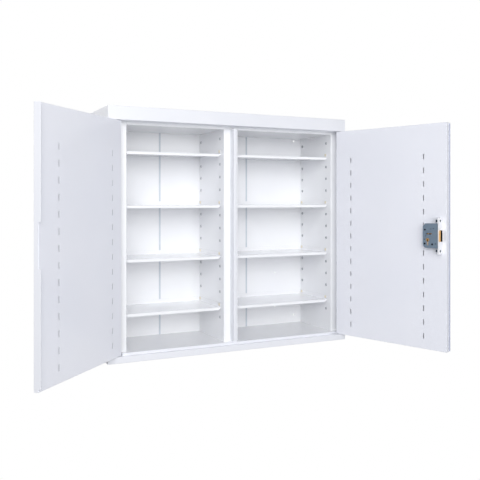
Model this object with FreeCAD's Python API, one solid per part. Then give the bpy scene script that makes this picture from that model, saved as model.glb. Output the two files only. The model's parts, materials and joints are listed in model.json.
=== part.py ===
import FreeCAD
import Part
import math
import os

# Wall-hung medicine cabinet of folded sheet steel with two doors, a divider and pegged shelves.
# Millimetres. X runs from the left side, Y from the front plane to the wall, Z from the underside.
# Every piece is modelled with the doors shut, then the doors are turned to the open rest pose
# and the whole is moved so that the centre of the wall fixings is the origin.

# Carcass
WIDTH = 1000.0
HEIGHT = 912.0
DEPTH = 300.0
SHEET = 1.2
BEND = 2.0
NEAR = 0.01
HEADER = 49.5
FOOTER = 32.0
RECESS = 51.5
CEILING_DROP = 10.5
FLOOR_STEP = 3.0
SILL = 22.8
LEDGE = 18.0
SWING_NOTCH = 58.0
SWING_NOTCH_DEPTH = 36.0
LEFT_JAMB = 82.0
RIGHT_JAMB = 36.0
DIVIDER = 60.0
REAR_FLANGE = 20.0

# Back panels and wall fixings
SEAM_LEFT = 294.0
SEAM_RIGHT = 310.0
SEAM_GAP = 2.5
STRAP = 36.0
FIXING_HOLE = 7.0
FIXING_WASHER = 20.0
FIXING_INSET = 35.0
FIXING_TOP = 68.5
FIXING_BOTTOM = 61.5
LOWER_INSET = 131.6
LOWER_BOTTOM = 106.5
LOWER_SPAN = 150.0

# Peg holes and shelves
ROW_START = 89.5
ROW_PITCH = 50.0
ROW_TOP = 25.0
COLUMN_FRONT = 37.0
COLUMN_REAR = 15.6
PEG = 7.5
PEG_CLEARANCE = 0.05
PEG_HEAD = 11.0
PEG_HEAD_THICK = 2.0
PEG_TAIL = 4.0
SHELF_SHEET = 1.0
SHELF_BEND = 1.6
SHELF_GAP = 1.5
SHELF_SETBACK = 26.5
SHELF_REAR_GAP = 1.5
SHELF_DROP = 10.5
SHELF_LIP = 10.0
SHELF_UPSTAND = 15.0
SHELF_CHEEK = 17.0
SHELF_FIRST_ROW = 1
SHELF_ROW_STEP = 4

# Doors and hinges
DOOR_THICK = 16.0
DOOR_SIDE_GAP = 3.0
DOOR_END_GAP = 1.2
MEETING_OFFSET = 3.5
MEETING_GAP = 2.0
DOOR_RETURN = 9.0
PANEL_MARGIN = 1.5
LEFT_PIVOT_IN = 28.0
RIGHT_PIVOT_IN = 18.0
PIVOT_BACK = 6.0
PIN = 6.0
PIN_REACH = 14.0
PIN_HEAD = 9.0
PIN_HEAD_THICK = 2.5
RUNNING_CLEARANCE = 0.05
BUSH = 8.0
BUSH_LENGTH = 16.0
BUSH_FLANGE = 11.0
BUSH_RUNNING_GAP = 0.4
HINGE_PLATE = 60.0
HINGE_PLATE_THICK = 3.0
HINGE_PLATE_INSET = 10.0
OPEN_LEFT = 134.4
OPEN_RIGHT = 108.5
SLOT_WIDTH = 3.8
SLOT_HEIGHT = 20.5
SLOT_PITCH = 51.4
SLOT_START = 48.0
SLOT_TOP = 110.0
LEFT_SLOT_FREE_EDGE = 104.0
LEFT_SLOT_HINGE_EDGE = 64.0
RIGHT_SLOT_FREE_EDGE = 94.0
RIGHT_SLOT_HINGE_EDGE = 74.0
RIB_WIDTH = 60.0
RIB_FOOT = 15.0

# Meeting edges
LIP = 2.4
LIP_RISE = 8.0
LIP_FIT = 0.3
NOTCH = 134.0
ASTRAGAL = 25.0
ASTRAGAL_THICK = 1.6
ASTRAGAL_LAP = 5.0
ASTRAGAL_RELIEF = 0.4
ASTRAGAL_END = 2.0
STRIKE_FRONT = 18.0
STRIKE_WIDTH = 13.0
STRIKE_CLEARANCE = 1.5
STRIKE_SLOT_MARGIN = 1.5

# Lock, measured from the forend's outer face, the lock's mid height and the door's inner panel
FOREND_SET = 17.7
FOREND_WIDTH = 25.0
FOREND_SCREW_END = 12.5
FOREND_THICK = 3.0
FOREND_RADIUS = 9.0
FOREND_LIFT = 1.3
FOREND_SCREW = 5.0
FOREND_SCREW_CLEAR = 10.0
FOREND_SCREW_HEAD = 9.0
FOREND_SCREW_TAIL = 6.0
FOREND_NUT = 8.0
FOREND_NUT_THICK = 4.0
BRACKET_SHEET = 2.0
BRACKET_REACH = 34.0
CASE_LENGTH = 64.0
CASE_HEIGHT = 90.0
CASE_THICK = 16.0
CASE_SHEET = 1.5
CASE_CHAMFER = 11.0
CASE_RADIUS = 15.0
BOLT_HEIGHT = 41.0
BOLT_THICK = 12.0
BOLT_OUT = 4.5
BOLT_HEAD = 24.0
BOLT_GUIDE = 0.3
TAIL_THICK = 2.5
TAIL_HEIGHT = 17.0
TAIL_LENGTH = 38.0
TAIL_RISE = 7.0
TAIL_SLOT = 4.5
STUMP = 5.0
STUMP_IN = 46.0
BOLT_THROW = 12.5
BOLT_RETRACT = 4.0
KEY_IN = 47.0
KEY_DROP = 15.0
CURTAIN = 13.0
CURTAIN_PROUD = 0.5
KEY_SLOT = 3.2
KEYHOLE_RADIUS = 5.0
KEYHOLE_DROP = 17.0
KEYHOLE_WIDTH = 5.0
ESCUTCHEON_WIDTH = 28.0
ESCUTCHEON_HEIGHT = 46.0
ESCUTCHEON_THICK = 1.5
LEVER_START = 26.5
LEVER_END = 53.5
LEVER_TOP = 24.0
LEVER_BOTTOM = 4.0
LEVER_GAP = 0.5
LEVER_PIVOT_IN = 33.0
LEVER_PIVOT_RISE = 19.0
LEVER_POST = 5.0
WINDOW_TOP = 12.5
WINDOW_MARGIN = 1.8
SPRING_THICK = 0.6
SPRING_RISE = 12.0
CAP_SCREW = 3.0
CAP_SCREW_HEAD = 6.5
CAP_SCREW_HEAD_THICK = 0.8
CAP_PILLAR = 6.0
CAP_SCREW_PLACES = [(59.0, -29.0), (28.5, -31.0), (58.0, 22.0)]

# Planes worked out from the sizes above
back = DEPTH - 2 * SHEET
soffit = HEIGHT - HEADER
ceiling = soffit - CEILING_DROP
floor = FOOTER - FLOOR_STEP
left_wall = LEFT_JAMB
right_wall = WIDTH - RIGHT_JAMB
divider_left = (WIDTH - DIVIDER) / 2
divider_right = (WIDTH + DIVIDER) / 2
seam_left = SEAM_LEFT
seam_right = WIDTH - SEAM_RIGHT
first_row = floor + ROW_START
row_count = int((ceiling - first_row - ROW_TOP) / ROW_PITCH) + 1
rows = [first_row + ROW_PITCH * k for k in range(row_count)]
columns = [RECESS + COLUMN_FRONT, back - COLUMN_REAR]
shelf_rows = rows[SHELF_FIRST_ROW::SHELF_ROW_STEP]
fixing_left = left_wall + FIXING_INSET
fixing_right = right_wall - FIXING_INSET
fixing_top = HEIGHT - FIXING_TOP
fixing_bottom = FIXING_BOTTOM
lower_fixing = right_wall - LOWER_INSET
fixings = [(x, z) for x in (fixing_left, fixing_right) for z in (fixing_bottom, fixing_top)]
fixings += [(lower_fixing, LOWER_BOTTOM), (lower_fixing, LOWER_BOTTOM + LOWER_SPAN)]
door_bottom = SILL + DOOR_END_GAP
door_top = soffit - DOOR_END_GAP
meeting = WIDTH / 2 - MEETING_OFFSET
left_free = meeting - MEETING_GAP / 2
right_free = meeting + MEETING_GAP / 2
pivots = {"left": LEFT_PIVOT_IN, "right": WIDTH - RIGHT_PIVOT_IN}
return_face = DOOR_THICK - SHEET
panel_face = DOOR_THICK
lock_height = (FOOTER + soffit) / 2
forend_face = right_free + FOREND_SET
forend_screw_rise = CASE_HEIGHT / 2 + FOREND_SCREW_CLEAR
forend_low = panel_face + FOREND_LIFT
forend_high = forend_low + FOREND_WIDTH
lock_middle = (forend_low + forend_high) / 2
case_low = lock_middle - CASE_THICK / 2
case_high = lock_middle + CASE_THICK / 2
case_start = forend_face + FOREND_THICK
case_end = case_start + CASE_LENGTH
bolt_low = lock_middle - BOLT_THICK / 2
bolt_high = lock_middle + BOLT_THICK / 2
key_x = forend_face + KEY_IN
key_z = lock_height - KEY_DROP
strike_left = left_free + STRIKE_CLEARANCE
strike_right = strike_left + STRIKE_WIDTH


def box(x0, x1, y0, y1, z0, z1):
    return Part.makeBox(x1 - x0, y1 - y0, z1 - z0, FreeCAD.Vector(x0, y0, z0))


def rod(x, y, z, radius, length, direction):
    return Part.makeCylinder(radius, length, FreeCAD.Vector(x, y, z), FreeCAD.Vector(*direction))


def upright(x, y, z0, z1, diameter):
    return rod(x, y, z0, diameter / 2, z1 - z0, (0, 0, 1))


def across(x, z, y0, y1, diameter):
    return rod(x, y0, z, diameter / 2, y1 - y0, (0, 1, 0))


def join(pieces):
    return pieces[0].fuse(pieces[1:]).removeSplitter()


def prism(points, y0, y1):
    corners = [FreeCAD.Vector(x, y0, z) for x, z in points]
    outline = Part.makePolygon(corners + corners[:1])
    return Part.Face(outline).extrude(FreeCAD.Vector(0, y1 - y0, 0))


def round_edges(shape, radius, chosen):
    return shape.makeFillet(radius, [edge for edge in shape.Edges if chosen(edge.BoundBox)])


def on_front(bounds):
    return bounds.YMax < NEAR


def along_x(bounds, y, z):
    return bounds.XLength > BEND and abs(bounds.YMax - y) < NEAR and abs(bounds.ZMax - z) < NEAR


def along_z(bounds, x, y):
    return bounds.ZLength > BEND and abs(bounds.XMax - x) < NEAR and abs(bounds.YMax - y) < NEAR


# Carcass trays, sides and back


def top_tray():
    plate = box(0, WIDTH, 0, DEPTH, HEIGHT - SHEET, HEIGHT)
    fascia = box(0, WIDTH, 0, SHEET, soffit, HEIGHT)
    under = box(SHEET, WIDTH - SHEET, 0, RECESS, soffit, soffit + SHEET)
    rear = box(REAR_FLANGE, WIDTH - REAR_FLANGE, DEPTH - SHEET, DEPTH, HEIGHT - REAR_FLANGE, HEIGHT)
    shape = join([plate, fascia, under, rear])
    shape = round_edges(shape, BEND, lambda b: on_front(b) and b.XLength > BEND)
    holes = [
        upright(x, PIVOT_BACK, soffit, soffit + SHEET, PIN + 2 * RUNNING_CLEARANCE) for x in pivots.values()
    ]
    return shape.cut(holes)


def bottom_tray():
    plate = box(0, WIDTH, 0, DEPTH, 0, SHEET)
    fascia = box(0, WIDTH, 0, SHEET, 0, SILL)
    ledge = box(SHEET, WIDTH - SHEET, 0, LEDGE, SILL - SHEET, SILL)
    stop = box(SWING_NOTCH, WIDTH - SWING_NOTCH, LEDGE - SHEET, LEDGE, SILL - SHEET, FOOTER)
    rear = box(REAR_FLANGE, WIDTH - REAR_FLANGE, DEPTH - SHEET, DEPTH, 0, REAR_FLANGE)
    shape = join([plate, fascia, ledge, stop, rear])
    shape = round_edges(shape, BEND, lambda b: on_front(b) and b.XLength > BEND)
    holes = [
        upright(x, PIVOT_BACK, SILL - SHEET, SILL, PIN + 2 * RUNNING_CLEARANCE) for x in pivots.values()
    ]
    return shape.cut(holes)


def side(outer, inner, flange_end):
    panel = box(min(outer, inner), max(outer, inner), SHEET, DEPTH, SHEET, HEIGHT - SHEET)
    low, high = sorted((outer, flange_end))
    flange = box(low, high, DEPTH - SHEET, DEPTH, SHEET, HEIGHT - SHEET)
    return join([panel, flange])


def back_panel(x0, x1):
    sheet = box(x0, x1, back, back + SHEET, SHEET, HEIGHT - SHEET)
    return sheet.cut([across(x, z, back, back + SHEET, FIXING_HOLE) for x, z in fixings])


def back_straps():
    low = REAR_FLANGE
    high = HEIGHT - REAR_FLANGE
    return [
        box(x - STRAP / 2, x + STRAP / 2, back + SHEET, DEPTH, low, high) for x in (seam_left, seam_right)
    ]


def fixing_washers():
    washers = []
    for x, z in fixings:
        disc = across(x, z, back + SHEET, DEPTH, FIXING_WASHER)
        washers.append(disc.cut(across(x, z, back + SHEET, DEPTH, FIXING_HOLE)))
    return washers


# Inner lining


def peg_holes(x0, x1):
    return [rod(x0, y, z, PEG / 2, x1 - x0, (1, 0, 0)) for y in columns for z in rows]


def inner_ceiling():
    plate = box(left_wall, right_wall, RECESS, back, ceiling, ceiling + SHEET)
    lip = box(left_wall, right_wall, RECESS, RECESS + SHEET, ceiling, soffit + SHEET)
    return round_edges(join([plate, lip]), BEND, lambda b: along_x(b, RECESS, ceiling))


def inner_floor():
    plate = box(SHEET, WIDTH - SHEET, LEDGE, back, floor - SHEET, floor)
    notches = [
        box(x, x + SWING_NOTCH, LEDGE, SWING_NOTCH_DEPTH, floor - SHEET, floor)
        for x in (0, WIDTH - SWING_NOTCH)
    ]
    return plate.cut(notches)


def inner_wall(face, behind, side_face):
    low, high = sorted((face, behind))
    wall = box(low, high, RECESS, back, floor, soffit + SHEET)
    jamb_low, jamb_high = sorted((face, side_face))
    jamb = box(jamb_low, jamb_high, RECESS, RECESS + SHEET, floor, soffit + SHEET)
    shape = round_edges(join([wall, jamb]), BEND, lambda b: along_z(b, face, RECESS))
    return shape.cut(peg_holes(low, high))


def divider():
    front = box(divider_left, divider_right, RECESS, RECESS + SHEET, floor, ceiling)
    left = box(divider_left, divider_left + SHEET, RECESS, back, floor, ceiling)
    right = box(divider_right - SHEET, divider_right, RECESS, back, floor, ceiling)
    shape = join([front, left, right])
    for x in (divider_left, divider_right):
        shape = round_edges(shape, BEND, lambda b: along_z(b, x, RECESS))
    return shape.cut(peg_holes(divider_left, divider_right))


def strike_channel():
    outer = box(strike_left, strike_right, STRIKE_FRONT, RECESS, floor, ceiling)
    inner = box(strike_left + SHEET, strike_right - SHEET, STRIKE_FRONT + SHEET, RECESS, floor, ceiling)
    margin = STRIKE_SLOT_MARGIN
    half = BOLT_HEIGHT / 2 + margin
    slot = box(
        strike_right - SHEET, strike_right, bolt_low - margin, bolt_high + margin,
        lock_height - half, lock_height + half,
    )
    for x in (strike_left, strike_right):
        outer = round_edges(outer, BEND, lambda b: along_z(b, x, STRIKE_FRONT))
    return outer.cut([inner, slot])


# Shelves and pegs


def shelf(wall_left, wall_right, row):
    x0 = wall_left + SHELF_GAP
    x1 = wall_right - SHELF_GAP
    y0 = RECESS + SHELF_SETBACK
    y1 = back - SHELF_REAR_GAP
    top = row - SHELF_DROP
    under = top - SHELF_SHEET
    plate = box(x0, x1, y0, y1, under, top)
    mitre = SHELF_LIP - SHELF_SHEET
    lip_points = [(x0, under), (x1, under), (x1 - mitre, top - SHELF_LIP), (x0 + mitre, top - SHELF_LIP)]
    lip = prism(lip_points, y0, y0 + SHELF_SHEET)
    rear = box(x0, x1, y1 - SHELF_SHEET, y1, top, top + SHELF_UPSTAND)
    cheek_start = columns[0] - PEG_HEAD
    left = box(x0, x0 + SHELF_SHEET, cheek_start, y1, top, top + SHELF_CHEEK)
    right = box(x1 - SHELF_SHEET, x1, cheek_start, y1, top, top + SHELF_CHEEK)
    shape = join([plate, lip, rear, left, right])
    shape = round_edges(shape, SHELF_BEND, lambda b: along_x(b, y0, top))
    return shape.cut([rod(x0, y, row, PEG / 2, x1 - x0, (1, 0, 0)) for y in columns])


def shelf_peg(wall, inward, y, z):
    head_face = wall + inward * (SHELF_GAP + SHELF_SHEET)
    head = rod(head_face, y, z, PEG_HEAD / 2, PEG_HEAD_THICK, (inward, 0, 0))
    shank_length = SHELF_GAP + SHELF_SHEET + SHEET + PEG_TAIL
    shank = rod(head_face, y, z, PEG / 2 - PEG_CLEARANCE, shank_length, (-inward, 0, 0))
    return join([head, shank])


def shelf_pegs():
    faces = [(left_wall, 1), (divider_left, -1), (divider_right, 1), (right_wall, -1)]
    return [shelf_peg(wall, inward, y, z) for wall, inward in faces for y in columns for z in shelf_rows]


# Hinge pins, plates and bushes


def hinge_plate(x, z0, z1, depth):
    inset = min(x, WIDTH - x)
    plate = box(x - HINGE_PLATE / 2, x + HINGE_PLATE / 2, SHEET, depth, z0, z1)
    plate.translate(FreeCAD.Vector(math.copysign(HINGE_PLATE / 2 - inset + BUSH, WIDTH / 2 - x), 0, 0))
    return plate.cut(upright(x, PIVOT_BACK, z0, z1, PIN + 2 * RUNNING_CLEARANCE))


def top_hinge_plates():
    low = soffit + SHEET
    return [
        hinge_plate(x, low, low + HINGE_PLATE_THICK, RECESS - HINGE_PLATE_INSET) for x in pivots.values()
    ]


def bottom_hinge_plates():
    high = SILL - SHEET
    return [hinge_plate(x, high - HINGE_PLATE_THICK, high, LEDGE - SHEET) for x in pivots.values()]


def top_hinge_pins():
    seat = soffit + SHEET + HINGE_PLATE_THICK
    pins = []
    for x in pivots.values():
        shank = upright(x, PIVOT_BACK, door_top - PIN_REACH, seat, PIN)
        pins.append(join([shank, upright(x, PIVOT_BACK, seat, seat + PIN_HEAD_THICK, PIN_HEAD)]))
    return pins


def bottom_hinge_pins():
    seat = SILL - SHEET - HINGE_PLATE_THICK
    pins = []
    for x in pivots.values():
        shank = upright(x, PIVOT_BACK, seat, door_bottom + PIN_REACH, PIN)
        pins.append(join([shank, upright(x, PIVOT_BACK, seat - PIN_HEAD_THICK, seat, PIN_HEAD)]))
    return pins


def door_bushes(x):
    flange = DOOR_END_GAP - BUSH_RUNNING_GAP
    bore = PIN + 2 * RUNNING_CLEARANCE
    bushes = []
    for end, inward in ((door_bottom, 1), (door_top, -1)):
        sleeve = rod(x, PIVOT_BACK, end, BUSH / 2, BUSH_LENGTH, (0, 0, inward))
        collar = rod(x, PIVOT_BACK, end, BUSH_FLANGE / 2, flange, (0, 0, -inward))
        start = end - inward * flange
        hole = rod(x, PIVOT_BACK, start, bore / 2, BUSH_LENGTH + flange, (0, 0, inward))
        bushes.append(join([sleeve, collar]).cut(hole))
    return bushes


# Doors


def keyhole(y0, y1):
    round_part = across(key_x, key_z, y0, y1, 2 * KEYHOLE_RADIUS)
    half = KEYHOLE_WIDTH / 2
    slot = box(key_x - half, key_x + half, y0, y1, key_z - KEYHOLE_DROP, key_z)
    return join([round_part, slot])


def door_skin(x0, x1, pivot):
    shape = box(x0, x1, 0, return_face, door_bottom, door_top)
    shape = round_edges(shape, BEND, on_front)
    hollow = box(
        x0 + SHEET, x1 - SHEET, SHEET, return_face - SHEET, door_bottom + SHEET, door_top - SHEET
    )
    mouth = box(
        x0 + DOOR_RETURN, x1 - DOOR_RETURN, SHEET, return_face,
        door_bottom + DOOR_RETURN, door_top - DOOR_RETURN,
    )
    seats = [upright(pivot, PIVOT_BACK, z, z + SHEET, BUSH) for z in (door_bottom, door_top - SHEET)]
    return shape.cut([hollow, mouth] + seats)


def door_panel(x0, x1, slot_columns):
    low = return_face
    sheet = box(x0, x1, low, panel_face, door_bottom + PANEL_MARGIN, door_top - PANEL_MARGIN)
    slot_count = int((door_top - door_bottom - SLOT_START - SLOT_TOP) / SLOT_PITCH) + 1
    slots = []
    for x in slot_columns:
        for k in range(slot_count):
            z = door_bottom + SLOT_START + SLOT_PITCH * k
            slots.append(
                box(
                    x - SLOT_WIDTH / 2, x + SLOT_WIDTH / 2, low, panel_face,
                    z - SLOT_HEIGHT / 2, z + SLOT_HEIGHT / 2,
                )
            )
    return sheet.cut(slots)


def door_rib(x0, x1):
    middle = (x0 + x1) / 2
    low = door_bottom + DOOR_RETURN
    high = door_top - DOOR_RETURN
    half = RIB_WIDTH / 2
    crown = box(middle - half, middle + half, SHEET, 2 * SHEET, low, high)
    top = return_face
    pieces = [crown]
    for sign in (-1, 1):
        wall_low, wall_high = sorted((middle + sign * half, middle + sign * (half - SHEET)))
        pieces.append(box(wall_low, wall_high, SHEET, top, low, high))
        foot_low, foot_high = sorted((middle + sign * half, middle + sign * (half + RIB_FOOT)))
        pieces.append(box(foot_low, foot_high, top - SHEET, top, low, high))
    return join(pieces)


def meeting_strips():
    strips = []
    low_end = FOOTER + DOOR_END_GAP
    for low, high in ((low_end, lock_height - NOTCH / 2), (lock_height + NOTCH / 2, door_top)):
        strip = box(left_free - LIP, left_free, return_face, DOOR_THICK + LIP_RISE, low, high)
        strips.append(round_edges(strip, LIP / 3, lambda b: along_z(b, b.XMin, DOOR_THICK + LIP_RISE)))
    return strips


def astragal():
    strip = box(
        right_free - ASTRAGAL_LAP, right_free + ASTRAGAL - ASTRAGAL_LAP, -ASTRAGAL_THICK, 0,
        door_bottom + ASTRAGAL_END, door_top - ASTRAGAL_END
    )
    relief = box(
        right_free - ASTRAGAL_LAP, right_free, -ASTRAGAL_RELIEF, 0,
        door_bottom + ASTRAGAL_END, door_top - ASTRAGAL_END
    )
    return strip.cut(relief)


def escutcheon():
    half = ESCUTCHEON_WIDTH / 2
    rise = ESCUTCHEON_HEIGHT / 2
    centre = key_z - KEYHOLE_DROP / 2
    plate = box(key_x - half, key_x + half, -ESCUTCHEON_THICK, 0, centre - rise, centre + rise)
    plate = round_edges(plate, half * 0.9, lambda b: b.YLength > ESCUTCHEON_THICK / 2)
    return plate.cut(keyhole(-ESCUTCHEON_THICK, 0))


# Lock


def forend():
    half = forend_screw_rise + FOREND_SCREW_END
    plate = box(forend_face, case_start, forend_low, forend_high, lock_height - half, lock_height + half)
    plate = round_edges(plate, FOREND_RADIUS, lambda b: b.XLength > FOREND_THICK / 2)
    rise = BOLT_HEIGHT / 2 + BOLT_GUIDE
    mouth = box(
        forend_face, case_start, bolt_low - BOLT_GUIDE, bolt_high + BOLT_GUIDE,
        lock_height - rise, lock_height + rise,
    )
    holes = []
    for z in (lock_height - forend_screw_rise, lock_height + forend_screw_rise):
        holes.append(rod(forend_face, lock_middle, z, FOREND_SCREW / 2, FOREND_THICK, (1, 0, 0)))
        sink = (FOREND_SCREW_HEAD - FOREND_SCREW) / 2
        head = Part.makeCone(
            FOREND_SCREW_HEAD / 2, FOREND_SCREW / 2, sink, FreeCAD.Vector(forend_face, lock_middle, z),
            FreeCAD.Vector(1, 0, 0)
        )
        holes.append(head)
    return plate.cut([mouth] + holes)


def forend_screws():
    screws = []
    length = FOREND_THICK + BRACKET_SHEET + FOREND_SCREW_TAIL
    sink = (FOREND_SCREW_HEAD - FOREND_SCREW) / 2
    for z in (lock_height - forend_screw_rise, lock_height + forend_screw_rise):
        shank = rod(forend_face, lock_middle, z, FOREND_SCREW / 2, length, (1, 0, 0))
        head = Part.makeCone(
            FOREND_SCREW_HEAD / 2, FOREND_SCREW / 2, sink, FreeCAD.Vector(forend_face, lock_middle, z),
            FreeCAD.Vector(1, 0, 0)
        )
        screws.append(join([shank, head]))
    return screws


def forend_nuts():
    nuts = []
    start = case_start + BRACKET_SHEET
    reach = FOREND_NUT / math.sqrt(3)
    for z in (lock_height - forend_screw_rise, lock_height + forend_screw_rise):
        corners = []
        for k in range(7):
            angle = math.radians(60 * k)
            corners.append(
                FreeCAD.Vector(start, lock_middle + reach * math.cos(angle), z + reach * math.sin(angle))
            )
        body = Part.Face(Part.makePolygon(corners)).extrude(FreeCAD.Vector(FOREND_NUT_THICK, 0, 0))
        nuts.append(body.cut(rod(start, lock_middle, z, FOREND_SCREW / 2, FOREND_NUT_THICK, (1, 0, 0))))
    return nuts


def lock_bracket():
    half = forend_screw_rise + FOREND_SCREW_END
    window = CASE_HEIGHT / 2 + BRACKET_SHEET
    base = box(
        case_start, case_start + BRACKET_REACH, panel_face, panel_face + BRACKET_SHEET,
        lock_height - half, lock_height + half
    )
    tab_end = case_start + BRACKET_SHEET
    upper = box(case_start, tab_end, panel_face, forend_high, lock_height + window, lock_height + half)
    lower = box(case_start, tab_end, panel_face, forend_high, lock_height - half, lock_height - window)
    shape = join([base, upper, lower])
    holes = []
    for z in (lock_height - forend_screw_rise, lock_height + forend_screw_rise):
        holes.append(rod(case_start, lock_middle, z, FOREND_SCREW / 2, BRACKET_SHEET, (1, 0, 0)))
    return shape.cut(holes)


def case_block(inset, y0, y1):
    low = lock_height - CASE_HEIGHT / 2 + inset
    high = lock_height + CASE_HEIGHT / 2 - inset
    start = case_start + inset
    end = case_end - inset
    chamfer = CASE_CHAMFER - inset * (2 - math.sqrt(2))
    points = [(start, low), (end, low), (end, high - chamfer), (end - chamfer, high), (start, high)]
    block = prism(points, y0, y1)

    def lower_far_corner(b):
        return b.YLength > NEAR and b.XMin > end - NEAR and b.ZMax < low + NEAR

    return round_edges(block, CASE_RADIUS - inset, lower_far_corner)


def pillar_places():
    return [(forend_face + x, lock_height + z) for x, z in CAP_SCREW_PLACES]


def lock_case():
    top = case_high - CASE_SHEET
    tray = case_block(0, case_low, top).cut(case_block(CASE_SHEET, case_low + CASE_SHEET, top))
    pillars = [across(x, z, case_low + CASE_SHEET, top, CAP_PILLAR) for x, z in pillar_places()]
    rise = BOLT_HEIGHT / 2 + BOLT_GUIDE
    mouth = box(
        case_start, case_start + CASE_SHEET, bolt_low - BOLT_GUIDE, bolt_high + BOLT_GUIDE,
        lock_height - rise, lock_height + rise
    )
    bore = across(key_x, key_z, case_low, case_low + CASE_SHEET, CURTAIN + 2 * RUNNING_CLEARANCE)
    threads = [across(x, z, case_low + CASE_SHEET, top, CAP_SCREW) for x, z in pillar_places()]
    return join([tray] + pillars).cut([mouth, bore] + threads)


def lock_cap():
    low = case_high - CASE_SHEET
    plate = case_block(0, low, case_high)
    bore = across(key_x, key_z, low, case_high, CURTAIN + 2 * RUNNING_CLEARANCE)
    half = KEYHOLE_WIDTH / 2
    key_way = box(key_x - half, key_x + half, low, case_high, key_z - KEYHOLE_DROP - CURTAIN / 4, key_z)
    start = forend_face + STUMP_IN - BOLT_THROW - STUMP / 2 - BOLT_GUIDE
    end = forend_face + STUMP_IN + BOLT_RETRACT + STUMP / 2 + BOLT_GUIDE
    sight_low = lock_height + TAIL_RISE - TAIL_SLOT / 2
    sight = box(start, end, low, case_high, sight_low, sight_low + TAIL_SLOT)
    holes = [across(x, z, low, case_high, CAP_SCREW) for x, z in pillar_places()]
    return plate.cut([bore, key_way, sight] + holes)


def cap_screws():
    screws = []
    bottom = case_low + CASE_SHEET
    for x, z in pillar_places():
        shank = across(x, z, bottom, case_high, CAP_SCREW)
        head = across(x, z, case_high, case_high + CAP_SCREW_HEAD_THICK, CAP_SCREW_HEAD)
        screws.append(join([shank, head]))
    return screws


def lock_bolt():
    head_end = forend_face - BOLT_OUT + BOLT_HEAD
    half = BOLT_HEIGHT / 2
    head = box(
        forend_face - BOLT_OUT, head_end, bolt_low, bolt_high, lock_height - half, lock_height + half
    )
    tail_low = lock_height + TAIL_RISE - TAIL_HEIGHT / 2
    tail = box(
        head_end, head_end + TAIL_LENGTH, bolt_low, bolt_low + TAIL_THICK, tail_low, tail_low + TAIL_HEIGHT
    )
    stump_top = case_high - CASE_SHEET - BOLT_GUIDE
    stump = across(forend_face + STUMP_IN, lock_height + TAIL_RISE, bolt_low, stump_top, STUMP)
    return join([head, tail, stump])


def lever_stack():
    low = bolt_low + TAIL_THICK + LEVER_GAP
    high = case_high - CASE_SHEET - LEVER_GAP
    x0 = forend_face + LEVER_START
    x1 = forend_face + LEVER_END
    plate = box(x0, x1, low, high, lock_height - LEVER_BOTTOM, lock_height + LEVER_TOP)
    window_start = forend_face + STUMP_IN - BOLT_THROW - STUMP / 2 - WINDOW_MARGIN
    window_end = forend_face + STUMP_IN + BOLT_RETRACT + STUMP / 2 + WINDOW_MARGIN
    window_low = lock_height + TAIL_RISE - STUMP / 2 - (WINDOW_TOP - TAIL_RISE - STUMP / 2)
    window = box(window_start, window_end, low, high, window_low, lock_height + WINDOW_TOP)
    pivot = across(
        forend_face + LEVER_PIVOT_IN, lock_height + LEVER_PIVOT_RISE, low, high,
        LEVER_POST + 2 * RUNNING_CLEARANCE,
    )
    return plate.cut([window, pivot])


def lever_post():
    return across(
        forend_face + LEVER_PIVOT_IN, lock_height + LEVER_PIVOT_RISE,
        case_low + CASE_SHEET, case_high - CASE_SHEET, LEVER_POST
    )


def lever_spring():
    low = bolt_low + TAIL_THICK + LEVER_GAP
    high = case_high - CASE_SHEET - LEVER_GAP
    x0 = forend_face + LEVER_PIVOT_IN
    x1 = forend_face + LEVER_END
    z0 = lock_height + LEVER_TOP
    points = [
        (x0, z0), (x0 + SPRING_RISE / 2, z0), (x1, z0 + SPRING_RISE), (x1, z0 + SPRING_RISE + SPRING_THICK)
    ]
    return prism(points, low, high)


def curtain():
    top = case_high + CURTAIN_PROUD
    barrel = across(key_x, key_z, case_low, top, CURTAIN)
    half = KEY_SLOT / 2
    slot = box(key_x - half, key_x + half, case_low, top, key_z - CURTAIN, key_z + half)
    return barrel.cut(slot)


# The assembly: fixed pieces, then the pieces that ride on each door

fixed = {
    "top_tray": [top_tray()],
    "bottom_tray": [bottom_tray()],
    "left_side": [side(0, SHEET, REAR_FLANGE)],
    "right_side": [side(WIDTH, WIDTH - SHEET, WIDTH - REAR_FLANGE)],
    "back_panel_left": [back_panel(SHEET, seam_left - SEAM_GAP / 2)],
    "back_panel_centre": [back_panel(seam_left + SEAM_GAP / 2, seam_right - SEAM_GAP / 2)],
    "back_panel_right": [back_panel(seam_right + SEAM_GAP / 2, WIDTH - SHEET)],
    "back_straps": back_straps(),
    "fixing_washers": fixing_washers(),
    "inner_ceiling": [inner_ceiling()],
    "inner_floor": [inner_floor()],
    "left_inner_wall": [inner_wall(left_wall, left_wall - SHEET, SHEET)],
    "right_inner_wall": [inner_wall(right_wall, right_wall + SHEET, WIDTH - SHEET)],
    "divider": [divider()],
    "strike_channel": [strike_channel()],
    "shelf_pegs": shelf_pegs(),
    "top_hinge_plates": top_hinge_plates(),
    "bottom_hinge_plates": bottom_hinge_plates(),
    "top_hinge_pins": top_hinge_pins(),
    "bottom_hinge_pins": bottom_hinge_pins(),
}
for number, row in enumerate(shelf_rows, start=1):
    fixed["left_shelf_%d" % number] = [shelf(left_wall, divider_left, row)]
    fixed["right_shelf_%d" % number] = [shelf(divider_right, right_wall, row)]

left_door = {
    "left_door_skin": [door_skin(DOOR_SIDE_GAP, left_free, pivots["left"])],
    "left_door_panel": [
        door_panel(
            DOOR_SIDE_GAP + PANEL_MARGIN, left_free - LIP - LIP_FIT,
            (left_free - LEFT_SLOT_FREE_EDGE, DOOR_SIDE_GAP + LEFT_SLOT_HINGE_EDGE)
        )
    ],
    "left_door_rib": [door_rib(DOOR_SIDE_GAP, left_free)],
    "left_door_bushes": door_bushes(pivots["left"]),
    "left_meeting_strips": meeting_strips(),
}

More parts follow.
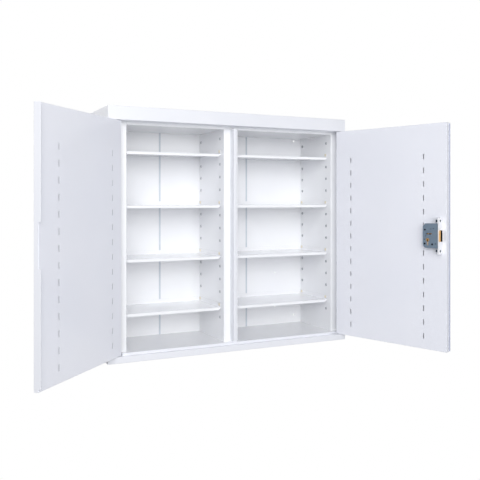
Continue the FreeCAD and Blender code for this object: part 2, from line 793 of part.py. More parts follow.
right_edge = WIDTH - DOOR_SIDE_GAP
right_slots = (right_free + RIGHT_SLOT_FREE_EDGE, right_edge - RIGHT_SLOT_HINGE_EDGE)
right_skin = door_skin(right_free, right_edge, pivots["right"]).cut(keyhole(0, SHEET))
right_panel = door_panel(right_free + PANEL_MARGIN, right_edge - PANEL_MARGIN, right_slots)
right_panel = right_panel.cut(keyhole(return_face, panel_face))
right_door = {
    "right_door_skin": [right_skin],
    "right_door_panel": [right_panel],
    "right_door_rib": [door_rib(right_free, right_edge)],
    "right_door_bushes": door_bushes(pivots["right"]),
    "right_door_astragal": [astragal()],
    "keyhole_escutcheon": [escutcheon()],
    "lock_bracket": [lock_bracket()],
    "lock_forend": [forend()],
    "lock_forend_screws": forend_screws(),
    "lock_forend_nuts": forend_nuts(),
    "lock_case": [lock_case()],
    "lock_cap": [lock_cap()],
    "lock_cap_screws": cap_screws(),
    "lock_bolt": [lock_bolt()],
    "lock_levers": [lever_stack()],
    "lock_lever_post": [lever_post()],
    "lock_lever_spring": [lever_spring()],
    "lock_curtain": [curtain()],
}

# Turn the doors to rest, move the origin to the centre of the wall fixings and write the files

origin = FreeCAD.Vector((fixing_left + fixing_right) / 2, DEPTH, (fixing_top + fixing_bottom) / 2)
up = FreeCAD.Vector(0, 0, 1)
swings = [
    (fixed, FreeCAD.Vector(0, 0, 0), 0.0),
    (left_door, FreeCAD.Vector(pivots["left"], PIVOT_BACK, 0), -OPEN_LEFT),
    (right_door, FreeCAD.Vector(pivots["right"], PIVOT_BACK, 0), OPEN_RIGHT),
]
os.makedirs("parts", exist_ok=True)
for group, pivot, angle in swings:
    for node, solids in group.items():
        placed = []
        for solid in solids:
            turned = solid.copy()
            turned.rotate(pivot, up, angle)
            turned.translate(origin.negative())
            placed.append(turned)
        shape = placed[0] if len(placed) == 1 else Part.makeCompound(placed)
        shape.exportStep("parts/%s.step" % node)
        print(node, len(shape.Solids), shape.isValid(), round(shape.Volume))
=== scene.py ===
import bpy
import json
import math
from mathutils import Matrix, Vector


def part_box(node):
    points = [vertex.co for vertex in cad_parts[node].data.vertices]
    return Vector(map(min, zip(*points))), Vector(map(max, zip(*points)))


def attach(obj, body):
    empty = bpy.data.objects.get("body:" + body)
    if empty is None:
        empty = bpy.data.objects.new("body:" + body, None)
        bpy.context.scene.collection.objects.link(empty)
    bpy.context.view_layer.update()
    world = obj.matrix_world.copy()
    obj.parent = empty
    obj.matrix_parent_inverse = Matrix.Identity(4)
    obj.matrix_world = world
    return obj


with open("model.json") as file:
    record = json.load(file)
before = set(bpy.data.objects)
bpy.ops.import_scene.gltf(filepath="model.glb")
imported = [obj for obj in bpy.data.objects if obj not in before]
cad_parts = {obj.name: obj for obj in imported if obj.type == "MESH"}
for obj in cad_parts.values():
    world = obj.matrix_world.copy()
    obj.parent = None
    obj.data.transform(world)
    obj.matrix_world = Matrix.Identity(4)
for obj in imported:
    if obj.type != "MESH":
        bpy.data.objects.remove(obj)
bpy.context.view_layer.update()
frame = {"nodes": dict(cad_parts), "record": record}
bpy.ops.object.select_all(action="DESELECT")


# Carcass: top and bottom tray and the two sides, folded from 1.2 mm steel sheet and welded,
# then powder coated white. The trays carry the header and footer that close the door opening.

def srgb(code):
    channels = [int(code[k:k + 2], 16) / 255 for k in (1, 3, 5)]
    linear = [c / 12.92 if c <= 0.04045 else ((c + 0.055) / 1.055) ** 2.4 for c in channels]
    return (*linear, 1.0)


def add_node(tree, kind, inputs=None, **settings):
    made = tree.nodes.new(kind)
    for name, value in settings.items():
        setattr(made, name, value)
    for name, value in (inputs or {}).items():
        if isinstance(value, bpy.types.NodeSocket):
            tree.links.new(value, made.inputs[name])
        else:
            made.inputs[name].default_value = value
    return made


def new_material(name):
    material = bpy.data.materials.new(name)
    material.use_nodes = True
    return material, material.node_tree, material.node_tree.nodes["Principled BSDF"]


def paint(material, *names):
    for name in names:
        for slot in frame["nodes"][name].material_slots:
            slot.material = material


MM = 0.001

# Polyester powder coat on steel, sprayed and baked: a cool white with a soft sheen. The colour drifts a
# little over a hand's width, and the orange peel, 1 to 2 mm on the real coat, is drawn 5 mm wide to show.
powder_coat, tree, shader = new_material("white_powder_coat")
place = add_node(tree, "ShaderNodeTexCoord").outputs["Object"]
drift = add_node(tree, "ShaderNodeTexNoise", {"Vector": place, "Scale": 1 / (160 * MM), "Detail": 2.0})
tint = add_node(tree, "ShaderNodeValToRGB", {"Fac": drift.outputs["Fac"]})
tint.color_ramp.elements[0].color = srgb("#EBEDF3")
tint.color_ramp.elements[1].color = srgb("#F0F1F6")
peel = add_node(tree, "ShaderNodeTexNoise", {"Vector": place, "Scale": 1 / (5 * MM), "Detail": 3.0})
sheen = add_node(
    tree, "ShaderNodeMapRange", {"Value": drift.outputs["Fac"], "To Min": 0.26, "To Max": 0.34}
)
relief = add_node(
    tree, "ShaderNodeBump", {"Height": peel.outputs["Fac"], "Strength": 0.25, "Distance": 0.06 * MM}
)
tree.links.new(tint.outputs["Color"], shader.inputs["Base Color"])
tree.links.new(sheen.outputs["Result"], shader.inputs["Roughness"])
tree.links.new(relief.outputs["Normal"], shader.inputs["Normal"])
shader.inputs["IOR"].default_value = 1.5
paint(powder_coat, "top_tray", "bottom_tray")

# The outer sides get a thinner, drier spray of the same coat, which stays matt even along the sheet.
side_coat = powder_coat.copy()
side_coat.name = "white_powder_coat_matt_side"
side_coat.node_tree.nodes["Principled BSDF"].inputs["Specular IOR Level"].default_value = 0.05
paint(side_coat, "left_side", "right_side")


# Back: three coated steel sheets with open seams, two straps welded behind the seams, and zinc washers
# behind the six wall fixing holes.

# The same coat on flat sheet, glossier than the folded work, with its white drawn brighter as painted light
# that brightens the lining, the shelves and the door panels.
panel_coat, tree, shader = new_material("white_powder_coat_flat_panel")
place = add_node(tree, "ShaderNodeTexCoord").outputs["Object"]
drift = add_node(tree, "ShaderNodeTexNoise", {"Vector": place, "Scale": 1 / (220 * MM), "Detail": 2.0})
tint = add_node(tree, "ShaderNodeValToRGB", {"Fac": drift.outputs["Fac"]})
tint.color_ramp.elements[0].color = srgb("#F9FAFE")
tint.color_ramp.elements[1].color = srgb("#FDFEFF")
peel = add_node(tree, "ShaderNodeTexNoise", {"Vector": place, "Scale": 1 / (6 * MM), "Detail": 3.0})
relief = add_node(
    tree, "ShaderNodeBump", {"Height": peel.outputs["Fac"], "Strength": 0.2, "Distance": 0.04 * MM}
)
tree.links.new(tint.outputs["Color"], shader.inputs["Base Color"])
tree.links.new(relief.outputs["Normal"], shader.inputs["Normal"])
shader.inputs["Roughness"].default_value = 0.16
shader.inputs["IOR"].default_value = 1.5
paint(panel_coat, "back_panel_left", "back_panel_centre", "back_panel_right")

# Zinc plate on steel: pale grey metal, clouded by faint crystals about 6 mm across.
zinc, tree, shader = new_material("zinc_plated_steel")
place = add_node(tree, "ShaderNodeTexCoord").outputs["Object"]
crystals = add_node(tree, "ShaderNodeTexVoronoi", {"Vector": place, "Scale": 1 / (6 * MM)})
tint = add_node(tree, "ShaderNodeValToRGB", {"Fac": crystals.outputs["Distance"]})
tint.color_ramp.elements[0].color = srgb("#B4B9C0")
tint.color_ramp.elements[1].color = srgb("#C6CACF")
clouding = add_node(
    tree, "ShaderNodeMapRange", {"Value": crystals.outputs["Distance"], "To Min": 0.3, "To Max": 0.42}
)
tree.links.new(tint.outputs["Color"], shader.inputs["Base Color"])
tree.links.new(clouding.outputs["Result"], shader.inputs["Roughness"])
shader.inputs["Metallic"].default_value = 1.0
paint(powder_coat, "back_straps")
paint(zinc, "fixing_washers")


# Lining: ceiling, floor, the two jamb walls with their peg holes, and the box divider with
# the strike channel that takes the lock bolt. All but the channel, which is folded, are flat sheet,
# coated before the carcass is closed.

paint(panel_coat, "inner_ceiling", "inner_floor")
paint(powder_coat, "strike_channel")

# On the walls a grey disc round each peg hole is painted shade: the dark inside the hole, drawn wider than
# the hole so that it shows. The holes stand in two columns, 50 mm apart up the wall, and the pegs that are
# in show
# where they are: one row of holes is below the lowest pegs, and one above the highest.
PEG_HEAD = 11
PEG_PITCH = 50
HOLE_SHADE_RIM = 10.5
pegs_low, pegs_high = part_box("shelf_pegs")
front_column = pegs_low[1] + PEG_HEAD / 2 * MM
rear_column = pegs_high[1] - PEG_HEAD / 2 * MM
first_row = pegs_low[2] + PEG_HEAD / 2 * MM
last_row = pegs_high[2] - PEG_HEAD / 2 * MM
wall_coat = panel_coat.copy()
wall_coat.name = "white_powder_coat_pegged_wall"
tree = wall_coat.node_tree
place = tree.nodes["Texture Coordinate"].outputs["Object"]
axes = add_node(tree, "ShaderNodeSeparateXYZ", {"Vector": place})
middle_column = (front_column + rear_column) / 2
from_middle = add_node(
    tree, "ShaderNodeMath", {0: axes.outputs["Y"], 1: middle_column}, operation="SUBTRACT"
)
either_way = add_node(tree, "ShaderNodeMath", {0: from_middle.outputs[0]}, operation="ABSOLUTE")
column_reach = (rear_column - front_column) / 2
across = add_node(
    tree, "ShaderNodeMath", {0: either_way.outputs[0], 1: column_reach}, operation="SUBTRACT"
)
from_row = add_node(tree, "ShaderNodeMath", {0: axes.outputs["Z"], 1: first_row}, operation="SUBTRACT")
half_pitch = PEG_PITCH / 2 * MM
up = add_node(
    tree, "ShaderNodeMath", {0: from_row.outputs[0], 1: half_pitch, 2: -half_pitch}, operation="WRAP"
)
from_hole = add_node(tree, "ShaderNodeCombineXYZ", {"X": across.outputs[0], "Y": up.outputs[0]})
apart = add_node(tree, "ShaderNodeVectorMath", {0: from_hole.outputs["Vector"]}, operation="LENGTH")
rim = add_node(
    tree, "ShaderNodeMath", {0: apart.outputs["Value"], 1: HOLE_SHADE_RIM / 2 * MM}, operation="LESS_THAN"
)
middle_row = (first_row + last_row) / 2
height = add_node(tree, "ShaderNodeMath", {0: axes.outputs["Z"], 1: middle_row}, operation="SUBTRACT")
up_or_down = add_node(tree, "ShaderNodeMath", {0: height.outputs[0]}, operation="ABSOLUTE")
rows_end = (last_row - first_row) / 2 + 1.5 * PEG_PITCH * MM
in_rows = add_node(tree, "ShaderNodeMath", {0: up_or_down.outputs[0], 1: rows_end}, operation="LESS_THAN")
hole_shade_mask = add_node(tree, "ShaderNodeMath", {0: rim.outputs[0], 1: in_rows.outputs[0]}, operation="MULTIPLY")
plain = tree.nodes["Color Ramp"].outputs["Color"]
# The grey disc mixed in here is painted shade of the peg hole.
hole_shaded = add_node(
    tree, "ShaderNodeMix", {0: hole_shade_mask.outputs[0], 6: plain, 7: srgb("#8F959F")}, data_type="RGBA"
)
tree.links.new(hole_shaded.outputs[2], tree.nodes["Principled BSDF"].inputs["Base Color"])
paint(wall_coat, "left_inner_wall", "right_inner_wall", "divider")


# Seam shade: a thin grey strip along each of the two open seams of the back, from the floor to the ceiling
# of the cabinet, painted shade that stands for the shadow in the seam gap. It lies flat and low behind the
# shelves.

SEAM_SHADE_WIDTH = 7
SEAM_SHADE_RISE = 0.7
SEAM_SHADE_ROUND = 0.5
back_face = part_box("back_panel_centre")[0][1]
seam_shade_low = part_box("inner_floor")[1][2]
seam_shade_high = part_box("inner_ceiling")[0][2]
seam_shade_gaps = {
    "left": (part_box("back_panel_left")[1][0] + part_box("back_panel_centre")[0][0]) / 2,
    "right": (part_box("back_panel_centre")[1][0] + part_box("back_panel_right")[0][0]) / 2,
}

# Painted seam shade: pale blue-grey and matt, with a tone that varies over about 20 mm.
seam_shade_paint, tree, shader = new_material("grey_painted_seam_shade")
place = add_node(tree, "ShaderNodeTexCoord").outputs["Object"]
seam_mottle = add_node(tree, "ShaderNodeTexNoise", {"Vector": place, "Scale": 1 / (20 * MM), "Detail": 3.0})
tint = add_node(tree, "ShaderNodeValToRGB", {"Fac": seam_mottle.outputs["Fac"]})
tint.color_ramp.elements[0].color = srgb("#CBD3DC")
tint.color_ramp.elements[1].color = srgb("#DAE0E7")
tree.links.new(tint.outputs["Color"], shader.inputs["Base Color"])
shader.inputs["Roughness"].default_value = 0.6


def pick_faces(piece, direction):
    bpy.ops.object.mode_set(mode="EDIT")
    bpy.ops.mesh.select_mode(type="FACE")
    bpy.ops.mesh.select_all(action="DESELECT")
    bpy.ops.object.mode_set(mode="OBJECT")
    for face in piece.data.polygons:
        face.select = sum(a * b for a, b in zip(face.normal, direction)) > 0.95
    bpy.ops.object.mode_set(mode="EDIT")


for side, seam in seam_shade_gaps.items():
    bpy.ops.object.select_all(action="DESELECT")
    bpy.ops.mesh.primitive_cube_add(
        size=1, location=(seam, back_face - SEAM_SHADE_RISE / 2 * MM, (seam_shade_low + seam_shade_high) / 2)
    )
    seam_strip = bpy.context.object
    seam_strip.name = "%s_seam_shade_strip" % side
    seam_strip.scale = (SEAM_SHADE_WIDTH * MM, SEAM_SHADE_RISE * MM, seam_shade_high - seam_shade_low)
    bpy.ops.object.transform_apply(location=True, rotation=True, scale=True)
    pick_faces(seam_strip, (0, -1, 0))
    bpy.ops.mesh.bevel(offset=SEAM_SHADE_ROUND * MM, segments=2)
    bpy.ops.object.mode_set(mode="OBJECT")
    seam_strip.data.materials.append(seam_shade_paint)
    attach(seam_strip, "cabinet")


# Swing pans: a small folded pan under each notch in the floor, where the hinge end of the door swings
# back as it opens. It closes the notch to the hollow below, and is coated with the carcass. Its middle
# and its size are in mm, and it is open above, in front and at the outer end.

PAN_SHEET = 1.2
PAN_SIZE = (56.7, 18, 7.4)
PAN_MIDDLES = {"left": (-493.35, -273, -427.2), "right": (447.35, -273, -427.2)}
for side, pan_middle in PAN_MIDDLES.items():
    bpy.ops.object.select_all(action="DESELECT")
    bpy.ops.mesh.primitive_cube_add(size=1, location=[part * MM for part in pan_middle])
    pan = bpy.context.object
    pan.name = "%s_swing_pan" % side
    pan.scale = [length * MM for length in PAN_SIZE]
    bpy.ops.object.transform_apply(location=True, rotation=True, scale=True)
    outer_end = -1 if side == "left" else 1
    for direction in ((0, 0, 1), (0, -1, 0), (outer_end, 0, 0)):
        pick_faces(pan, direction)
        bpy.ops.mesh.delete(type="FACE")
        bpy.ops.object.mode_set(mode="OBJECT")
    wall = pan.modifiers.new("sheet", "SOLIDIFY")
    wall.thickness = PAN_SHEET * MM
    wall.offset = -1
    bpy.ops.object.modifier_apply(modifier=wall.name)
    pan.data.materials.append(powder_coat)
    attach(pan, "cabinet")


# Shelves: eight folded trays of 1 mm sheet with a mitred front lip, each laid on four
# push-in nylon pegs that stand in the peg holes.

for side in ("left", "right"):
    for number in range(1, 5):
        paint(panel_coat, "%s_shelf_%d" % (side, number))

# Natural nylon, injection moulded: cream, half matt, with the slight cloudiness of the flow, 4 mm wide.
nylon, tree, shader = new_material("moulded_cream_nylon")
place = add_node(tree, "ShaderNodeTexCoord").outputs["Object"]
flow = add_node(tree, "ShaderNodeTexNoise", {"Vector": place, "Scale": 1 / (4 * MM), "Detail": 2.0})
tint = add_node(tree, "ShaderNodeValToRGB", {"Fac": flow.outputs["Fac"]})
tint.color_ramp.elements[0].color = srgb("#E4DAC2")
tint.color_ramp.elements[1].color = srgb("#F0E8D4")
gloss = add_node(tree, "ShaderNodeMapRange", {"Value": flow.outputs["Fac"], "To Min": 0.4, "To Max": 0.52})
tree.links.new(tint.outputs["Color"], shader.inputs["Base Color"])
tree.links.new(gloss.outputs["Result"], shader.inputs["Roughness"])
shader.inputs["IOR"].default_value = 1.53
paint(nylon, "shelf_pegs")


# Hinges: a turned steel pin at each door end, riveted through a plate that is welded inside
# the tray, and a flanged nylon bush pressed into the door.

paint(zinc, "top_hinge_pins", "bottom_hinge_pins")
paint(powder_coat, "top_hinge_plates", "bottom_hinge_plates")
paint(nylon, "left_door_bushes", "right_door_bushes")


# Doors: a folded outer skin with a slotted inner panel laid over its returns, both powder coated. The
# left door has two lips at its free edge, and the right door an astragal that laps over the left.

# On the door panels the white is drawn a little darker and bluer than the lining's: painted light, for the
# cooler and weaker light that falls on the open doors.
door_coat = panel_coat.copy()
door_coat.name = "white_powder_coat_door_panel"
door_tint = door_coat.node_tree.nodes["Color Ramp"].color_ramp
door_tint.elements[0].color = srgb("#F3F5FD")
door_tint.elements[1].color = srgb("#F8F9FF")
paint(door_coat, "left_door_panel", "right_door_panel")
paint(
    powder_coat, "left_door_skin", "left_door_rib", "left_meeting_strips",
    "right_door_skin", "right_door_rib", "right_door_astragal",
)


# Astragal lap shade: a thin grey strip along the inside of the lap that covers the gap between the shut
# doors, painted shade on the lap. It runs the height of the right door, just past its free edge.

# Sizes in mm on the shut door: along it from the lock's face plate, up from the lock's middle, and out
# from the inner panel. The face plate stands 466.8 mm from the hinge, the panel 10 mm behind it.
joints = frame["record"]["behaviour"]["joints"]
hinge = next(joint for joint in joints if joint["name"] == "right_door_hinge")
door_turn = math.radians(-hinge["range_deg"][0])
LOCK_FROM_HINGE = -466.8
PANEL_FROM_HINGE = 10.0
LOCK_RISE = -5.25


def lock_place(along, up, out):
    run = (LOCK_FROM_HINGE + along) * MM
    off = (PANEL_FROM_HINGE + out) * MM
    x = hinge["pos_m"][0] + run * math.cos(door_turn) - off * math.sin(door_turn)
    y = hinge["pos_m"][1] + run * math.sin(door_turn) + off * math.cos(door_turn)
    return (x, y, (LOCK_RISE + up) * MM)


def door_block(name, middle, size):
    bpy.ops.object.select_all(action="DESELECT")
    bpy.ops.mesh.primitive_cube_add(size=1, location=lock_place(*middle), rotation=(0, 0, door_turn))
    block = bpy.context.object
    block.name = name
    block.scale = [length * MM for length in size]
    bpy.ops.object.transform_apply(location=True, rotation=True, scale=True)
    return block


def raise_inset(border, height, direction):
    bpy.ops.mesh.inset(thickness=border * MM)
    bpy.ops.transform.translate(value=[height * MM * part for part in direction])


out_of_panel = (-math.sin(door_turn), math.cos(door_turn), 0)
LAP_SHADE_MIDDLE = (-20.25, -4.6, -16.22)
LAP_SHADE_SIZE = (4.3, 0.34, 829)
LAP_SHADE_BORDER = 0.9
LAP_SHADE_CROWN = 0.04
lap_shade_strip = door_block("astragal_lap_shade", LAP_SHADE_MIDDLE, LAP_SHADE_SIZE)
pick_faces(lap_shade_strip, out_of_panel)
raise_inset(LAP_SHADE_BORDER, LAP_SHADE_CROWN, out_of_panel)
bpy.ops.object.mode_set(mode="OBJECT")

# Painted shade on the astragal's lap: matt blue-grey, with a faint tone that varies every 12 mm or so.
lap_shade_paint, tree, shader = new_material("grey_painted_lap_shade")
place = add_node(tree, "ShaderNodeTexCoord").outputs["Object"]
lap_mottle = add_node(tree, "ShaderNodeTexNoise", {"Vector": place, "Scale": 1 / (12 * MM), "Detail": 3.0})
tint = add_node(tree, "ShaderNodeValToRGB", {"Fac": lap_mottle.outputs["Fac"]})
tint.color_ramp.elements[0].color = srgb("#B2B6C8")
tint.color_ramp.elements[1].color = srgb("#C2C6D6")
tree.links.new(tint.outputs["Color"], shader.inputs["Base Color"])
shader.inputs["Roughness"].default_value = 0.7
lap_shade_strip.data.materials.append(lap_shade_paint)
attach(lap_shade_strip, "right_door")


# Lock body: a pressed steel case and cap in blue-grey enamel, held by a folded bracket. Three
# screws and a row of small rivet heads hold the cap down.

# Stoved enamel on pressed steel: slate blue-grey, half gloss, with a fine hammer texture drawn 3 mm wide.
enamel, tree, shader = new_material("slate_stoved_enamel")
place = add_node(tree, "ShaderNodeTexCoord").outputs["Object"]
hammer = add_node(tree, "ShaderNodeTexNoise", {"Vector": place, "Scale": 1 / (3 * MM), "Detail": 2.0})
cloud = add_node(tree, "ShaderNodeTexNoise", {"Vector": place, "Scale": 1 / (25 * MM), "Detail": 2.0})
tint = add_node(tree, "ShaderNodeValToRGB", {"Fac": cloud.outputs["Fac"]})
tint.color_ramp.elements[0].color = srgb("#647687")
tint.color_ramp.elements[1].color = srgb("#788999")
relief = add_node(
    tree, "ShaderNodeBump", {"Height": hammer.outputs["Fac"], "Strength": 0.3, "Distance": 0.08 * MM}
)
tree.links.new(tint.outputs["Color"], shader.inputs["Base Color"])
tree.links.new(relief.outputs["Normal"], shader.inputs["Normal"])
shader.inputs["Roughness"].default_value = 0.42
shader.inputs["IOR"].default_value = 1.5
paint(enamel, "lock_case", "lock_cap")
paint(powder_coat, "lock_bracket")

# Blued steel: screw, nut and rivet heads dipped hot in oil, nearly black with a teal cast, and worn
# paler in spots 2 mm wide.
blued, tree, shader = new_material("blued_steel")
place = add_node(tree, "ShaderNodeTexCoord").outputs["Object"]
wear = add_node(tree, "ShaderNodeTexNoise", {"Vector": place, "Scale": 1 / (2 * MM), "Detail": 3.0})
tint = add_node(tree, "ShaderNodeValToRGB", {"Fac": wear.outputs["Fac"]})
tint.color_ramp.elements[0].color = srgb("#1C272E")
tint.color_ramp.elements[1].color = srgb("#3C4F5A")
gloss = add_node(tree, "ShaderNodeMapRange", {"Value": wear.outputs["Fac"], "To Min": 0.35, "To Max": 0.55})
tree.links.new(tint.outputs["Color"], shader.inputs["Base Color"])
tree.links.new(gloss.outputs["Result"], shader.inputs["Roughness"])
shader.inputs["Metallic"].default_value = 1.0
paint(blued, "lock_forend_screws", "lock_forend_nuts")

CAP_FACE = 21.8
RIVET_RADIUS = 1.7
RIVET_HEAD = 0.5
RIVET_DOME = ((0.5, 0.2), (0.6, 0.1))
RIVET_PLACES = ((15, -29), (59, -14), (56, -1.5), (34.5, 25), (23.8, 27))
rivets = []
for along, up in RIVET_PLACES:
    bpy.ops.object.select_all(action="DESELECT")
    bpy.ops.mesh.primitive_cylinder_add(
        vertices=20, radius=RIVET_RADIUS * MM, depth=RIVET_HEAD * MM,
        location=lock_place(along, up, CAP_FACE + RIVET_HEAD / 2),
        rotation=(math.radians(90), 0, door_turn),
    )
    rivet = bpy.context.object
    bpy.ops.object.transform_apply(location=True, rotation=True, scale=True)
    pick_faces(rivet, out_of_panel)
    for border, height in RIVET_DOME:
        raise_inset(border, height, out_of_panel)
    bpy.ops.object.mode_set(mode="OBJECT")
    rivets.append(rivet)
bpy.ops.object.select_all(action="DESELECT")
for rivet in rivets:
    rivet.select_set(True)
bpy.context.view_layer.objects.active = rivets[0]
bpy.ops.object.join()
cap_rivets = bpy.context.object
cap_rivets.name = "cap_rivets"
cap_rivets.data.materials.append(blued)
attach(cap_rivets, "right_door")


# Face plate: a bright plated steel bar that closes the lock's front, with two dark slotted screws
# and their nuts. The same plate is on the keyhole cover outside.

# Satin nickel on steel: near white metal with a fine straight grain, 0.4 mm apart on the real plate and
# drawn at 0.8 mm to show.
nickel, tree, shader = new_material("satin_nickel_plate")
place = add_node(tree, "ShaderNodeTexCoord").outputs["Object"]
stretched = add_node(tree, "ShaderNodeMapping", {"Vector": place, "Scale": (1.0, 1.0, 0.04)})
grain = add_node(
    tree, "ShaderNodeTexNoise", {"Vector": stretched.outputs[0], "Scale": 1 / (0.8 * MM), "Detail": 2.0}
)
tint = add_node(tree, "ShaderNodeValToRGB", {"Fac": grain.outputs["Fac"]})
tint.color_ramp.elements[0].color = srgb("#E6E6E8")
tint.color_ramp.elements[1].color = srgb("#F6F6F6")
gloss = add_node(tree, "ShaderNodeMapRange", {"Value": grain.outputs["Fac"], "To Min": 0.26, "To Max": 0.4})
tree.links.new(tint.outputs["Color"], shader.inputs["Base Color"])
tree.links.new(gloss.outputs["Result"], shader.inputs["Roughness"])
shader.inputs["Metallic"].default_value = 1.0
paint(nickel, "lock_forend", "keyhole_escutcheon")


# Cap nuts: two domed nuts of blued steel, turned from bar and run down on the tails of the face plate
# screws, behind the plate.

PLATE_MIDDLE = 13.8
NUT_PLACE = 13.0
NUT_RISE = 55
NUT_RADIUS = 4.2
NUT_LENGTH = 6
NUT_DOME = ((1.0, 1.4), (1.4, 0.7))
from_free_edge = (math.cos(door_turn), math.sin(door_turn), 0)
for number, up in ((1, NUT_RISE), (2, -NUT_RISE)):
    bpy.ops.object.select_all(action="DESELECT")
    bpy.ops.mesh.primitive_cylinder_add(
        vertices=24, radius=NUT_RADIUS * MM, depth=NUT_LENGTH * MM,
        location=lock_place(NUT_PLACE, up, PLATE_MIDDLE), rotation=(0, math.radians(90), door_turn),
    )
    nut = bpy.context.object
    nut.name = "cap_nut_%d" % number
    bpy.ops.object.transform_apply(location=True, rotation=True, scale=True)
    pick_faces(nut, from_free_edge)
    for border, height in NUT_DOME:
        raise_inset(border, height, from_free_edge)
    bpy.ops.object.mode_set(mode="OBJECT")
    nut.data.materials.append(blued)
    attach(nut, "right_door")


# Bolt, levers and key curtain: cut from brass bar and sheet, turned by the key inside the case. The
# spring that presses the levers down is plated steel.

# Brass, drawn and lightly tarnished: warm tan with brown clouds 5 mm wide.
brass, tree, shader = new_material("tarnished_brass")
place = add_node(tree, "ShaderNodeTexCoord").outputs["Object"]
tarnish = add_node(tree, "ShaderNodeTexNoise", {"Vector": place, "Scale": 1 / (5 * MM), "Detail": 4.0})
tint = add_node(tree, "ShaderNodeValToRGB", {"Fac": tarnish.outputs["Fac"]})
tint.color_ramp.elements[0].color = srgb("#A47C4C")
tint.color_ramp.elements[1].color = srgb("#CDA875")
gloss = add_node(
    tree, "ShaderNodeMapRange", {"Value": tarnish.outputs["Fac"], "To Min": 0.45, "To Max": 0.28}
)
tree.links.new(tint.outputs["Color"], shader.inputs["Base Color"])
tree.links.new(gloss.outputs["Result"], shader.inputs["Roughness"])
shader.inputs["Metallic"].default_value = 1.0
paint(brass, "lock_bolt", "lock_levers", "lock_lever_post", "lock_curtain")
paint(zinc, "lock_lever_spring")


# Bolt end: a thin black plate on the end of the brass bolt, painted dark reflection of the bolt's end face,
# thin enough to pass the strike. It shoots and draws back with the bolt.

BOLT_END_PLACE = -4.62
BOLT_END_SIZE = (0.24, 11.6, 40.4)
BOLT_END_BORDER = 0.8
BOLT_END_CROWN = 0.04
to_free_edge = (-math.cos(door_turn), -math.sin(door_turn), 0)
bolt_end_reflection = door_block("bolt_end_dark_reflection", (BOLT_END_PLACE, 0, PLATE_MIDDLE), BOLT_END_SIZE)
pick_faces(bolt_end_reflection, to_free_edge)
raise_inset(BOLT_END_BORDER, BOLT_END_CROWN, to_free_edge)
bpy.ops.object.mode_set(mode="OBJECT")

# Black oxide on hardened steel: soot black and dull, with paler rub marks about 3 mm long. It is the cap
# screws' own finish; on the bolt end the same black is painted dark reflection.
oxide_and_dark_reflection, tree, shader = new_material("black_oxide_steel_and_painted_reflection")
place = add_node(tree, "ShaderNodeTexCoord").outputs["Object"]
rub = add_node(tree, "ShaderNodeTexNoise", {"Vector": place, "Scale": 1 / (3 * MM), "Detail": 3.0})
tint = add_node(tree, "ShaderNodeValToRGB", {"Fac": rub.outputs["Fac"]})
tint.color_ramp.elements[0].color = srgb("#0C0D10")
tint.color_ramp.elements[1].color = srgb("#1E2025")
tree.links.new(tint.outputs["Color"], shader.inputs["Base Color"])
shader.inputs["Roughness"].default_value = 0.6
shader.inputs["Specular IOR Level"].default_value = 0.0
paint(oxide_and_dark_reflection, "lock_cap_screws")
bolt_end_reflection.data.materials.append(oxide_and_dark_reflection)
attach(bolt_end_reflection, "lock_bolt")


# Key way liner: a small pressed tray of pale brass in the cap's key way, under the curtain, that
# guides the key's bit.

LINER_MIDDLE = (47, -28.6, 20.9)
LINER_SIZE = (4.8, 1.6, 12.6)
LINER_WALL = 0.7
LINER_DEPTH = 0.7
liner = door_block("key_way_liner", LINER_MIDDLE, LINER_SIZE)
pick_faces(liner, out_of_panel)
bpy.ops.mesh.inset(thickness=LINER_WALL * MM)
into_liner = [-LINER_DEPTH * MM * part for part in out_of_panel]
bpy.ops.mesh.extrude_region_move(TRANSFORM_OT_translate={"value": into_liner})
bpy.ops.object.mode_set(mode="OBJECT")

# The same brass, paler and greyer.
pale_brass = brass.copy()
pale_brass.name = "pale_grey_brass"
pale_tint = pale_brass.node_tree.nodes["Color Ramp"].color_ramp
pale_tint.elements[0].color = srgb("#A8947E")
pale_tint.elements[1].color = srgb("#C8B49C")
liner.data.materials.append(pale_brass)
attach(liner, "right_door")


# Camera: level, a little above the middle of the cabinet and left of it, with the frame shifted so that
# upright edges stay upright.

camera = bpy.data.objects.new("camera", bpy.data.cameras.new("camera"))
bpy.context.scene.collection.objects.link(camera)
camera.location = (-1.1399, -2.6238, 0.1239)
camera.rotation_euler = (math.radians(90), 0, math.radians(-25.96))
camera.data.sensor_width = 36
camera.data.lens = 50.49
camera.data.shift_y = -0.0823
camera.data.clip_end = 100
bpy.context.scene.camera = camera


# Studio: a pale floor below the hung cabinet, a white surround, and broad soft lamps. Three lamps light
# the front, and three the back, the right side and the top, which the others don't reach.

bpy.ops.mesh.primitive_circle_add(vertices=96, radius=1.1, fill_type="NGON", location=(0, -0.3, -1.55))
floor = bpy.context.object
floor.name = "floor"
floor_paint, tree, shader = new_material("pale_floor")
shader.inputs["Base Color"].default_value = srgb("#EDEDED")
shader.inputs["Roughness"].default_value = 0.8
glow = add_node(tree, "ShaderNodeEmission", {"Color": srgb("#FFFFFF"), "Strength": 1.0})
path = add_node(tree, "ShaderNodeLightPath")
share = add_node(tree, "ShaderNodeMath", {0: path.outputs["Is Camera Ray"], 1: 0.75}, operation="MULTIPLY")
pale = add_node(
    tree, "ShaderNodeMixShader",
    {0: share.outputs[0], 1: shader.outputs["BSDF"], 2: glow.outputs["Emission"]},
)
tree.links.new(pale.outputs["Shader"], tree.nodes["Material Output"].inputs["Surface"])
floor.data.materials.append(floor_paint)

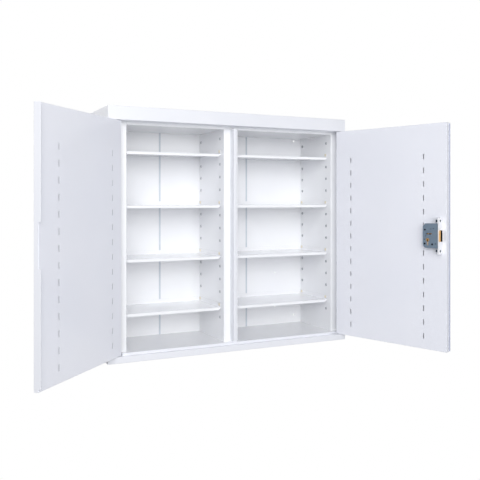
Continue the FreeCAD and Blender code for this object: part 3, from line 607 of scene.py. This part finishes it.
world = bpy.data.worlds.new("white_surround")
bpy.context.scene.world = world
world.use_nodes = True
tree = world.node_tree
soft = tree.nodes["Background"]
soft.inputs["Color"].default_value = srgb("#F4F6FC")
soft.inputs["Strength"].default_value = 0.34
seen = add_node(tree, "ShaderNodeBackground", {"Color": srgb("#FFFFFF"), "Strength": 1.0})
path = add_node(tree, "ShaderNodeLightPath")
camera_or_glossy = add_node(
    tree, "ShaderNodeMath", {0: path.outputs["Is Camera Ray"], 1: path.outputs["Is Glossy Ray"]},
    operation="MAXIMUM",
)
direct = add_node(
    tree, "ShaderNodeMath", {0: camera_or_glossy.outputs[0], 1: path.outputs["Is Transmission Ray"]},
    operation="MAXIMUM",
)
both = add_node(tree, "ShaderNodeMixShader", {0: direct.outputs[0], 1: soft.outputs[0], 2: seen.outputs[0]})
tree.links.new(both.outputs[0], tree.nodes["World Output"].inputs["Surface"])


def add_lamp(name, place, aim, size, watts):
    lamp = bpy.data.objects.new(name, bpy.data.lights.new(name, "AREA"))
    bpy.context.scene.collection.objects.link(lamp)
    lamp.data.shape = "RECTANGLE"
    lamp.data.size, lamp.data.size_y = size
    lamp.data.energy = watts
    lamp.location = place
    offset = [b - a for a, b in zip(place, aim)]
    turn = math.atan2(-offset[0], offset[1])
    tilt = math.atan2(math.hypot(offset[0], offset[1]), -offset[2])
    lamp.rotation_euler = (tilt, 0, turn)


add_lamp("front_fill_lamp", (-0.5, -4.6, 0.7), (0, -0.1, -0.05), (2.6, 2.2), 69)
add_lamp("left_lamp", (-2.0, -3.8, 0.9), (0, -0.1, -0.1), (1.6, 1.8), 35)
add_lamp("high_left_lamp", (-1.5, -2.5, 1.6), (-0.1, -0.2, 0), (1.0, 1.0), 17)
add_lamp("rear_lamp", (-0.8, 4.4, 0.6), (0, 0, 0), (2.4, 2.0), 46)
add_lamp("right_lamp", (4.0, 2.0, 0.2), (0.5, -0.2, 0), (2.0, 1.0), 80)
add_lamp("top_lamp", (0, 2.4, 3.2), (0, 0, 0.4), (1.6, 1.2), 46)


bpy.context.scene.view_settings.view_transform = "Standard"
